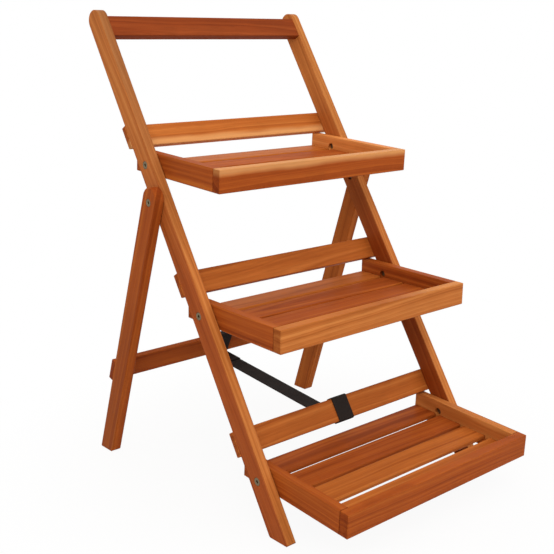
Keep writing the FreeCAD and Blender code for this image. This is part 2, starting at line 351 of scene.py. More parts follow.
    def along_post(self, tree: Tree, grain: Socket, normal: Socket, in_log: Vector, shade: Socket) -> Socket:
        """Paints shade on a post: its front and back darker towards the head, its flanks darker towards the
        foot.

        Args:
            tree: The material's node tree.
            grain: Coordinates with X along the grain, in metres.
            normal: The surface's facing.
            in_log: Where the post's middle lies in the grain's coordinates.
            shade: The colour so far.

        Returns:
            The tinted colour, or the same colour on a piece that is no post.
        """
        if self.head_and_foot is None:
            return shade
        # Painted shade: the flanks darken towards the foot, and the front and back towards the head, each by
        # its tint.
        along = add_node(tree, "ShaderNodeSeparateXYZ", inputs={0: grain}).outputs["X"]
        lowness = add_node(tree, "ShaderNodeMapRange", inputs={
            "Value": along, "From Min": in_log.x + self.foot_reach * self.half_length,
            "From Max": in_log.x + self.head_reach * self.half_length,
            "To Min": 1.0, "To Max": 0.0}).outputs[0]
        sideways = add_node(tree, "ShaderNodeSeparateXYZ", inputs={0: normal}).outputs["X"]
        flank = add_node(tree, "ShaderNodeMath", {"operation": "ABSOLUTE"}, {0: sideways}).outputs[0]
        highness, facing = (
            add_node(tree, "ShaderNodeMath", {"operation": "SUBTRACT"}, {0: 1.0, 1: share}).outputs[0]
            for share in (lowness, flank))
        for tint, end, side in zip(self.head_and_foot, (highness, lowness), (facing, flank)):
            share = add_node(tree, "ShaderNodeMath", {"operation": "MULTIPLY"}, {0: end, 1: side}).outputs[0]
            shade = add_node(tree, "ShaderNodeMix", {"data_type": "RGBA", "blend_type": "MULTIPLY"}, {
                0: share, 6: shade, 7: srgb(tint)}).outputs[2]
        return shade

    def along_edges(self, tree: Tree, shade: Socket) -> Socket:
        """Deepens the colour on the eased edges.

        Args:
            tree: The material's node tree.
            shade: The colour so far.

        Returns:
            The colour with darker edges.
        """
        rounded = add_node(tree, "ShaderNodeBevel", {"samples": 4}, {
            "Radius": self.edge_line_mm * MM}).outputs[0]
        flat = add_node(tree, "ShaderNodeNewGeometry").outputs["True Normal"]
        match = add_node(tree, "ShaderNodeVectorMath", {"operation": "DOT_PRODUCT"}, {0: rounded, 1: flat})
        depth = add_node(tree, "ShaderNodeMapRange", inputs={
            "Value": match.outputs["Value"], "From Min": 0.75, "From Max": 0.98,
            "To Min": self.edge_depth}).outputs[0]
        return add_node(tree, "ShaderNodeMix", {"data_type": "RGBA", "blend_type": "MULTIPLY"}, {
            0: 1.0, 6: shade, 7: depth}).outputs[2]

    def cut_end(self, tree: Tree, normal: Socket, turn: Matrix) -> Socket:
        """Finds the faces sawn across the grain.

        Args:
            tree: The material's node tree.
            normal: The surface's facing.
            turn: The rotation from the grain's axes to the stand's.

        Returns:
            1 on a sawn face, 0 on the others.
        """
        along = add_node(tree, "ShaderNodeVectorMath", {"operation": "DOT_PRODUCT"}, {
            0: normal, 1: turn @ Vector((1, 0, 0))}).outputs["Value"]
        size = add_node(tree, "ShaderNodeMath", {"operation": "ABSOLUTE"}, {0: along}).outputs[0]
        return add_node(tree, "ShaderNodeMapRange", inputs={
            "Value": size, "From Min": 0.75, "From Max": 0.95}).outputs[0]

    def relief(self, tree: Tree, fibre: Socket, late: Socket) -> Socket:
        """Raises shallow pores and ridges, over edges that a sander has taken round.

        Args:
            tree: The material's node tree.
            fibre: Random values that follow the pores.
            late: Random values that follow the late wood.

        Returns:
            The surface's normal.
        """
        rounded = add_node(tree, "ShaderNodeBevel", {"samples": 4}, {
            "Radius": self.edge_round_mm * MM}).outputs[0]
        height = add_node(tree, "ShaderNodeMath", {"operation": "MULTIPLY_ADD"}, {0: late, 1: 0.4, 2: fibre})
        return add_node(tree, "ShaderNodeBump", inputs={
            "Strength": 0.25, "Distance": self.relief_mm * MM, "Height": height.outputs[0],
            "Normal": rounded}).outputs[0]


@dataclass(frozen=True)
class ZincSteel:
    """Steel hardware with yellow passivated zinc plating: dull straw metal, a little cloudy."""

    name: str = "zinc_plated_steel"
    dark: str = "5C5140"
    pale: str = "857659"
    cloud_mm: float = 3.0
    gloss: tuple[float, float] = (0.28, 0.42)

    def material(self) -> bpy.types.Material:
        """Builds the plated metal.

        Returns:
            A material whose roughness and colour are clouded by the passivation.
        """
        material, tree = new_material(self.name)
        place = add_node(tree, "ShaderNodeTexCoord").outputs["Object"]
        cloud = add_node(tree, "ShaderNodeTexNoise", inputs={
            "Vector": place, "Scale": 1 / (self.cloud_mm * MM), "Detail": 3.0}).outputs[0]
        colour = add_node(tree, "ShaderNodeMix", {"data_type": "RGBA"}, {
            0: cloud, 6: srgb(self.dark), 7: srgb(self.pale)}).outputs[2]
        dull = add_node(tree, "ShaderNodeMapRange", inputs={
            "Value": cloud, "From Min": 0.3, "From Max": 0.7,
            "To Min": self.gloss[0], "To Max": self.gloss[1]}).outputs[0]
        finish_surface(tree, {"Base Color": colour, "Metallic": 0.9, "Roughness": dull})
        return material


@dataclass(frozen=True)
class Webbing:
    """Black polypropylene webbing woven in a herringbone twill: dull, ribbed, faintly brown.

    The yarns of the real strap are about 1 mm apart. They are drawn 1.6 mm apart, so that they show.
    """

    name: str = "polypropylene_webbing"
    dark: str = "0A0706"
    pale: str = "2C221C"
    yarn_mm: float = 1.6
    bone_mm: float = 9.5
    rib_mm: float = 0.3

    def material(self) -> bpy.types.Material:
        """Builds the weave.

        Returns:
            A material that reads the strap's own map, in metres along and across the band.
        """
        material, tree = new_material(self.name)
        flat = add_node(tree, "ShaderNodeUVMap", {"uv_map": "weave"}).outputs[0]
        split = add_node(tree, "ShaderNodeSeparateXYZ", inputs={0: flat}).outputs
        bone = add_node(tree, "ShaderNodeMath", {"operation": "PINGPONG"}, {
            0: split["Y"], 1: self.bone_mm * MM})
        slant = add_node(tree, "ShaderNodeMath", {"operation": "ADD"}, {
            0: split["X"], 1: bone.outputs[0]}).outputs[0]
        turn = add_node(tree, "ShaderNodeMath", {"operation": "MULTIPLY"}, {
            0: slant, 1: 2 * math.pi / (self.yarn_mm * MM)}).outputs[0]
        yarn = add_node(tree, "ShaderNodeMath", {"operation": "SINE"}, {0: turn}).outputs[0]
        raised = add_node(tree, "ShaderNodeMapRange", inputs={
            "Value": yarn, "From Min": -1.0, "From Max": 1.0}).outputs[0]
        colour = add_node(tree, "ShaderNodeMix", {"data_type": "RGBA"}, {
            0: raised, 6: srgb(self.dark), 7: srgb(self.pale)}).outputs[2]
        ribs = add_node(tree, "ShaderNodeBump", inputs={
            "Strength": 0.6, "Distance": self.rib_mm * MM, "Height": raised}).outputs[0]
        finish_surface(tree, {
            "Base Color": colour, "Roughness": 0.8, "Specular IOR Level": 0.2, "Normal": ribs})
        return material


@dataclass(frozen=True)
class SewingThread:
    """Bonded polyester thread, black, with the slight gloss of its coating."""

    name: str = "polyester_thread"
    dark: str = "1B1715"
    pale: str = "4A403B"
    twist_mm: float = 0.5

    def material(self) -> bpy.types.Material:
        """Builds the thread.

        Returns:
            A material with the light and dark turns of the thread's twist.
        """
        material, tree = new_material(self.name)
        place = add_node(tree, "ShaderNodeTexCoord").outputs["Object"]
        twist = add_node(tree, "ShaderNodeTexNoise", inputs={
            "Vector": place, "Scale": 1 / (self.twist_mm * MM)}).outputs[0]
        colour = add_node(tree, "ShaderNodeMix", {"data_type": "RGBA"}, {
            0: twist, 6: srgb(self.dark), 7: srgb(self.pale)}).outputs[2]
        finish_surface(tree, {"Base Color": colour, "Roughness": 0.5})
        return material


# ---- wooden frames ----

def dress_node(node: str, material: bpy.types.Material) -> None:
    """Puts one material on a node of the frame.

    Args:
        node: The node's name.
        material: Its finish.
    """
    dressed = frame["nodes"][node]
    for slot in dressed.material_slots:
        slot.material = material
    if not dressed.material_slots:
        dressed.data.materials.append(material)


@dataclass
class WoodenFrame:
    """Boards of one frame, which share a tilt about the stand's cross axis.

    A post may have the tints of its painted shade, at its head and at its foot. A board may have a pale edge,
    given by its border's height from the board's middle in millimetres, and 1 for the upper edge or -1 for
    the lower.
    """

    body: str
    tilt: float
    boards: dict[str, tuple[Tone, Runs]]
    post_tints: dict[str, tuple[str, str]] = field(default_factory=dict)
    pale_edges: dict[str, tuple[float, int]] = field(default_factory=dict)

    def dress(self) -> None:
        """Gives each board an oiled acacia material with its own grain."""
        for node, (tone, runs) in self.boards.items():
            low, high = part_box(node)
            finish = OiledAcacia(node, tone, runs, self.tilt, (low + high) / 2, (high - low).length / 2,
                                 self.post_tints.get(node), *self.pale_edges.get(node, ()))
            dress_node(node, finish.material())
        log.info("%s: %d boards dressed", self.body, len(self.boards))


def ladder_frame() -> WoodenFrame:
    """The leaning frame: two stiles, the top bar and three rails."""
    return WoodenFrame("ladder", LADDER_TILT, {
        "stile_left": (Tone.GOLDEN, Runs.UPWARD),
        "stile_right": (Tone.GOLDEN, Runs.UPWARD),
        "top_bar": (Tone.RED, Runs.ACROSS),
        "rail_upper": (Tone.ORANGE, Runs.ACROSS),
        "rail_middle": (Tone.ORANGE, Runs.ACROSS),
        "rail_lower": (Tone.ORANGE, Runs.ACROSS),
    # Painted shade on the stiles: front and back tinted darker towards the head, flanks towards the foot.
    }, {"stile_left": ("D4E1FF", "DAB8AE"), "stile_right": ("F0F8FF", "C6A08A")}, {"rail_upper": (9.0, -1)})


def leg_frame() -> WoodenFrame:
    """The rear frame: two legs and their rail."""
    return WoodenFrame("legs", LEG_TILT, {
        "leg_left": (Tone.RUST, Runs.UPWARD),
        "leg_right": (Tone.ORANGE, Runs.UPWARD),
        "leg_rail": (Tone.RUST, Runs.ACROSS),
    # Painted shade on the left leg's flanks towards its foot.
    }, {"leg_left": ("FFFFFF", "F2F8F8")})


@dataclass(frozen=True)
class Tray:
    """One tray: a front board, two side boards, slats from the rear to the front, and cleats under them."""

    name: str
    slope: float
    front: Tone
    sides: tuple[Tone, Tone]
    slats: tuple[Tone, ...]
    front_sapwood_mm: float | None = None

    def frame(self) -> WoodenFrame:
        """Gathers the tray's boards.

        Returns:
            The tray as a frame that can be dressed.
        """
        boards = {self.name + "_front": (self.front, Runs.ACROSS)}
        for side, tone in zip(("left", "right"), self.sides):
            boards[self.name + "_side_" + side] = (tone, Runs.BACKWARD)
            boards[self.name + "_cleat_" + side] = (Tone.BROWN, Runs.BACKWARD)
        for number, tone in enumerate(self.slats, 1):
            boards[self.name + "_slat_" + str(number)] = (tone, Runs.ACROSS)
        pale = {self.name + "_front": (self.front_sapwood_mm, 1)} if self.front_sapwood_mm else {}
        return WoodenFrame(self.name, self.slope, boards, pale_edges=pale)


TRAYS = (
    Tray("upper_tray", 3.5, Tone.RUST, (Tone.RUST, Tone.AMBER),
         (Tone.ORANGE, Tone.RUST, Tone.ORANGE, Tone.RUST), 12.0),
    Tray("middle_tray", 1.5, Tone.GOLDEN, (Tone.RUST, Tone.RUST),
         (Tone.ORANGE, Tone.RUST, Tone.RUST, Tone.RUST)),
    Tray("lower_tray", 3.5, Tone.RUST, (Tone.RUST, Tone.GOLDEN),
         (Tone.RUST, Tone.RUST, Tone.ORANGE, Tone.ORANGE)),
)


# ---- node trees that repeat a shape ----

def repeating_tree(name: str, inputs: dict[str, str], output: str) -> tuple[Tree, bpy.types.NodeOutputs]:
    """Starts a Geometry Nodes tree.

    Args:
        name: The tree's name.
        inputs: The kind of each named input, such as Float.
        output: The name of the finished shape.

    Returns:
        The tree, and the inputs that it is given.
    """
    tree = bpy.data.node_groups.new(name, "GeometryNodeTree")
    for label, kind in inputs.items():
        tree.interface.new_socket(name=label, in_out="INPUT", socket_type="NodeSocket" + kind)
    tree.interface.new_socket(name=output, in_out="OUTPUT", socket_type="NodeSocketGeometry")
    return tree, add_node(tree, "NodeGroupInput").outputs


def end_tree(tree: Tree, shape: Socket, finish: Socket) -> None:
    """Gives a shape, with no instances left in it, its finish and ends the tree."""
    done = add_node(tree, "GeometryNodeSetMaterial", inputs={
        "Geometry": shape, "Material": finish}).outputs[0]
    add_node(tree, "NodeGroupOutput", inputs={0: done})


def run_tree(tree: Tree, source: bpy.types.Object, inputs: dict[str, object], name: str) -> bpy.types.Object:
    """Runs a node tree on a mesh and keeps the result as a plain mesh.

    Args:
        tree: The node tree.
        source: The object that the tree works on. It is removed.
        inputs: Values of the tree's named inputs.
        name: The new object's name.

    Returns:
        A linked object with the finished mesh.
    """
    bpy.context.scene.collection.objects.link(source)
    modifier = source.modifiers.new(tree.name, "NODES")
    modifier.node_group = tree
    for item in tree.interface.items_tree:
        if item.item_type == "SOCKET" and item.in_out == "INPUT" and item.name in inputs:
            modifier[item.identifier] = inputs[item.name]
    bpy.context.view_layer.update()
    solved = source.evaluated_get(bpy.context.evaluated_depsgraph_get())
    data = bpy.data.meshes.new_from_object(solved)
    data.name = name
    made = bpy.data.objects.new(name, data)
    bpy.context.scene.collection.objects.link(made)
    bpy.data.objects.remove(source)
    return made


def placing_tree() -> Tree:
    """A node tree that sets a fastener on each point, with its head along the point's facing.

    Returns:
        A tree with inputs for the fastener, the random turn of its recess, the seed and the finish.
    """
    tree, given = repeating_tree("place_fasteners", {
        "Points": "Geometry", "Fastener": "Object", "Largest Turn": "Float", "Seed": "Int",
        "Finish": "Material"}, "Fasteners")
    facing = add_node(tree, "GeometryNodeInputNamedAttribute", {"data_type": "FLOAT_VECTOR"}, {
        "Name": "facing"})
    upright = add_node(tree, "FunctionNodeAlignRotationToVector", {"axis": "Z"}, {
        "Vector": facing.outputs[0]})
    shape = add_node(tree, "GeometryNodeObjectInfo", inputs={"Object": given["Fastener"]}).outputs["Geometry"]
    placed = add_node(tree, "GeometryNodeInstanceOnPoints", inputs={
        "Points": given["Points"], "Instance": shape, "Rotation": upright.outputs[0]}).outputs[0]
    turn = add_node(tree, "FunctionNodeRandomValue", {"data_type": "FLOAT"}, {
        2: 0.0, 3: given["Largest Turn"], "Seed": given["Seed"]}).outputs[1]
    spin = add_node(tree, "ShaderNodeCombineXYZ", inputs={"Z": turn}).outputs[0]
    turned = add_node(tree, "GeometryNodeRotateInstances", inputs={
        "Instances": placed, "Rotation": spin, "Local Space": True}).outputs[0]
    real = add_node(tree, "GeometryNodeRealizeInstances", inputs={0: turned}).outputs[0]
    end_tree(tree, real, given["Finish"])
    return tree


def stitching_tree() -> Tree:
    """A node tree that lays a row of stitches along each edge of a mesh.

    Returns:
        A tree with inputs for the pitch, the length of a stitch, the thread's width and its finish.
    """
    tree, given = repeating_tree("sew_stitches", {
        "Seam": "Geometry", "Pitch": "Float", "Stitch": "Float", "Thread": "Float",
        "Finish": "Material"}, "Stitches")
    seam = add_node(tree, "GeometryNodeMeshToCurve", inputs={"Mesh": given["Seam"]}).outputs[0]
    dots = add_node(tree, "GeometryNodeCurveToPoints", {"mode": "LENGTH"}, {
        "Curve": seam, "Length": given["Pitch"]}).outputs
    bead = add_node(tree, "GeometryNodeMeshUVSphere", inputs={
        "Segments": 8, "Rings": 5, "Radius": 0.5}).outputs[0]
    size = add_node(tree, "ShaderNodeCombineXYZ", inputs={
        "X": given["Thread"], "Y": given["Thread"], "Z": given["Stitch"]}).outputs[0]
    laid = add_node(tree, "GeometryNodeInstanceOnPoints", inputs={
        "Points": dots["Points"], "Instance": bead, "Rotation": dots["Rotation"], "Scale": size}).outputs[0]
    real = add_node(tree, "GeometryNodeRealizeInstances", inputs={0: laid}).outputs[0]
    smooth = add_node(tree, "GeometryNodeSetShadeSmooth", inputs={0: real}).outputs[0]
    end_tree(tree, smooth, given["Finish"])
    return tree


# ---- fasteners ----

RING_STEPS = 36


def ring(reach_mm: Callable[[float], float], height_mm: float) -> Ring:
    """Draws a loop of points about the Z axis.

    Args:
        reach_mm: Gives the distance from the axis at each angle.
        height_mm: The loop's height on the axis.

    Returns:
        Points in metres.
    """
    points = []
    for step in range(RING_STEPS):
        angle = 2 * math.pi * step / RING_STEPS
        reach = reach_mm(angle) * MM
        points.append((reach * math.cos(angle), reach * math.sin(angle), height_mm * MM))
    return points


def from_middle(angle: float, sides: int) -> float:
    """How far an angle lies from the middle of the nearest of some equal sides."""
    half = math.pi / sides
    return (angle + half) % (2 * half) - half


def round_ring(radius_mm: float, height_mm: float) -> Ring:
    """A circle."""
    return ring(lambda angle: radius_mm, height_mm)


def hexagon_ring(flats_mm: float, height_mm: float) -> Ring:
    """A hexagon by the distance over its flats, with as many points as a circle."""
    return ring(lambda angle: flats_mm / 2 / math.cos(from_middle(angle, 6)), height_mm)


def cross_ring(span_mm: float, arm_mm: float, height_mm: float) -> Ring:
    """The outline of a cross recess, by the span over its arms and the width of an arm."""
    return ring(lambda angle: min(span_mm / 2, arm_mm / 2 / max(math.sin(abs(from_middle(angle, 4))), 1e-6)),
                height_mm)


def skin(name: str, rings: list[Ring]) -> bpy.types.Object:
    """Joins rings of equal count into one closed shell.

    Args:
        name: The new object's name.
        rings: Loops of points, from one end of the shell to the other.

    Returns:
        An object that isn't linked to the scene yet.
    """
    mesh = bmesh.new()
    loops = [[mesh.verts.new(point) for point in points] for points in rings]
    for first, second in zip(loops, loops[1:]):
        for here in range(RING_STEPS):
            following = (here + 1) % RING_STEPS
            mesh.faces.new((first[here], first[following], second[following], second[here]))
    mesh.faces.new(loops[0])
    mesh.faces.new(loops[-1])
    bmesh.ops.recalc_face_normals(mesh, faces=mesh.faces)
    data = bpy.data.meshes.new(name)
    mesh.to_mesh(data)
    mesh.free()
    return bpy.data.objects.new(name, data)


@dataclass(frozen=True)
class Fastener:
    """A fastener drawn on the Z axis, its head's outer face at Z = 0 and facing up."""

    name: str
    head_radius_mm: float
    head_height_mm: float
    shank_radius_mm: float
    length_mm: float


@dataclass(frozen=True)
class Bolt(Fastener):
    """A bolt with a flat round head, a rolled rim and a hexagon socket.

    The rolled rim is a row of steps inward from the rim and down from the head's face.
    """

    socket_flats_mm: float = 5.0
    socket_depth_mm: float = 2.9
    socket_chamfer_mm: float = 0.7
    floor_inset_mm: float = 0.2
    floor_rise_mm: float = 0.1
    rolled_rim_mm: tuple[tuple[float, float], ...] = ((0.9, 0.0), (0.4, 0.08), (0.1, 0.3), (0.0, 0.7))
    tip_chamfer_mm: float = 0.6

    def build(self) -> bpy.types.Object:
        """Builds the bolt from its socket, over the rim, to the tip.

        Returns:
            An object that isn't linked to the scene yet.
        """
        rim, shank, flats = self.head_radius_mm, self.shank_radius_mm, self.socket_flats_mm
        floor_mm, lip, tip = -self.socket_depth_mm, self.socket_chamfer_mm, self.tip_chamfer_mm
        return skin(self.name, [
            hexagon_ring(flats - 2 * self.floor_inset_mm, floor_mm),
            hexagon_ring(flats, floor_mm + self.floor_rise_mm),
            hexagon_ring(flats, -lip), hexagon_ring(flats + 2 * lip, 0.0),
            *(round_ring(rim - inward, -down) for inward, down in self.rolled_rim_mm),
            round_ring(rim, -self.head_height_mm), round_ring(shank, -self.head_height_mm),
            round_ring(shank, tip - self.length_mm), round_ring(shank - tip, -self.length_mm),
        ])


@dataclass(frozen=True)
class Screw(Fastener):
    """A wood screw with a countersunk head and a cross recess.

    The recess is a row of steps: a share of its span, the width of an arm, and the depth below the face.
    """

    recess_share: float = 0.625
    recess_steps: tuple[Place, ...] = ((0.3, 0.4, 1.3), (0.6, 0.6, 0.9), (1.0, 0.9, 0.0))
    rim_inset_mm: float = 0.3
    rim_drop_mm: float = 0.15
    point_length_mm: float = 4.0
    point_radius_mm: float = 0.2

    def build(self) -> bpy.types.Object:
        """Builds the screw from its recess to its point.

        Returns:
            An object that isn't linked to the scene yet.
        """
        rim, shank = self.head_radius_mm, self.shank_radius_mm
        span = 2 * rim * self.recess_share
        return skin(self.name, [
            *(cross_ring(span * share, arm, -depth) for share, arm, depth in self.recess_steps),
            round_ring(rim - self.rim_inset_mm, 0.0), round_ring(rim, -self.rim_drop_mm),
            round_ring(shank, -self.head_height_mm), round_ring(shank, self.point_length_mm - self.length_mm),
            round_ring(self.point_radius_mm, -self.length_mm),
        ])


def points_object(name: str, places: list[Vector], facings: list[Vector]) -> bpy.types.Object:
    """Makes loose points, each with the way that a fastener's head faces there.

    Args:
        name: The new object's name.
        places: Where the points are.
        facings: A direction for each point.

    Returns:
        An object that isn't linked to the scene yet.
    """
    data = bpy.data.meshes.new(name)
    data.from_pydata(places, [], [])
    attribute = data.attributes.new("facing", "FLOAT_VECTOR", "POINT")
    for entry, facing in zip(attribute.data, facings):
        entry.vector = facing
    return bpy.data.objects.new(name, data)


def half_depth(low: Vector, high: Vector, slope: float) -> float:
    """Half of a board's height across its slope in degrees, worked out from the corners of its box."""
    angle = math.radians(slope)
    return ((high.z - low.z) * math.cos(angle) - (high.y - low.y) * math.sin(angle)) / math.cos(2 * angle) / 2


@dataclass
class Fasteners:
    """Every bolt and screw of the stand, set by one node tree."""

    frame_half_mm: float = 255.0
    leg_half_mm: float = 276.0
    post_thick_mm: float = 20.0
    slat_screw_spread_mm: float = 16.0
    largest_turn: float = 1.2
    tray_bolt: Bolt = Bolt("tray_bolt", 7.0, 3.0, 3.0, 33.7)
    leg_bolt: Bolt = Bolt("leg_bolt", 7.0, 3.0, 3.0, 35.7)
    rail_screw: Screw = Screw("rail_screw", 4.0, 2.0, 2.0, 30.0)
    slat_screw: Screw = Screw("slat_screw", 3.2, 1.7, 1.5, 15.0)
    tree: Tree = field(default_factory=placing_tree)
    finish: bpy.types.Material = field(default_factory=ZincSteel().material)

    def place(self, name: str, kind: Bolt | Screw, body: str, places: list[Vector],
              facings: list[Vector]) -> bpy.types.Object:
        """Sets one kind of fastener at its places and lets it ride on its body.

        Args:
            name: The new piece's name.
            kind: The fastener.
            body: The body that holds it.
            places: Where the heads' outer faces are.
            facings: The way that each head faces.

        Returns:
            The piece with all the fasteners.
        """
        inputs = {"Fastener": kind.build(), "Largest Turn": self.largest_turn,
                  "Seed": len(name), "Finish": self.finish}
        made = run_tree(self.tree, points_object(name + "_places", places, facings), inputs, name)
        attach(made, body)
        log.info("%s: %d set on %s", name, len(places), body)
        return made

    def pivot_bolts(self) -> None:
        """Bolts on the pivots of the trays and of the legs, their heads on the outer faces."""
        pivots = {joint["name"]: Vector(joint["pos_m"]) for joint in frame["joints"]}
        rows = (
            ("tray_bolt_heads", "tray_pivot_bolts", self.tray_bolt, "ladder", "tray_fold",
             self.frame_half_mm),
            ("leg_bolt_heads", "leg_pivot_bolts", self.leg_bolt, "legs", "leg_fold", self.leg_half_mm),
        )
        for name, node, kind, body, joint_name, half in rows:
            places, facings = [], []
            for joint, pivot in pivots.items():
                if joint.endswith(joint_name):
                    for side in (-1, 1):
                        places.append(Vector((side * half * MM, pivot.y, pivot.z)))
                        facings.append(Vector((side, 0, 0)))
            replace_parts(self.place(name, kind, body, places, facings), node)

    def rail_screws(self) -> None:
        """Screws through the ends of the rails, driven from behind."""
        rows = (
            ("rail_screw_heads", "rail_screws", "ladder", ("rail_upper", "rail_middle", "rail_lower"),
             LADDER_TILT, self.frame_half_mm),
            ("leg_rail_screw_heads", "leg_rail_screws", "legs", ("leg_rail",), LEG_TILT, self.leg_half_mm),
        )
        for name, node, body, rails, tilt, half in rows:
            backward = Matrix.Rotation(math.radians(tilt), 3, "X") @ Vector((0, 1, 0))
            places, facings = [], []
            for rail in rails:
                low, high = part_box(rail)
                back = (low + high) / 2 + backward * RAIL_THICK_MM / 2 * MM
                for side in (-1, 1):
                    places.append(Vector((side * (half - self.post_thick_mm / 2) * MM, back.y, back.z)))
                    facings.append(backward)
            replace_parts(self.place(name, self.rail_screw, body, places, facings), node)

    def slat_screws(self, tray: Tray) -> None:
        """Sets two small screws up through each cleat into every slat of a tray.

        Args:
            tray: The tray.
        """
        turn = Matrix.Rotation(math.radians(tray.slope), 3, "X")
        down = turn @ Vector((0, 0, -1))
        backward = turn @ Vector((0, 1, 0))
        places, facings = [], []
        for side in ("left", "right"):
            low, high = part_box(tray.name + "_cleat_" + side)
            cleat = (low + high) / 2
            deep = half_depth(low, high, tray.slope)
            for number in range(1, len(tray.slats) + 1):
                slat_low, slat_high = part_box(tray.name + "_slat_" + str(number))
                slat = (slat_low + slat_high) / 2
                for step in (-0.5, 0.5):
                    along = (slat - cleat).dot(backward) + step * self.slat_screw_spread_mm * MM
                    places.append(cleat + backward * along + down * deep)
                    facings.append(down)
        self.place(tray.name + "_slat_screws", self.slat_screw, tray.name, places, facings)


# ---- strap ----

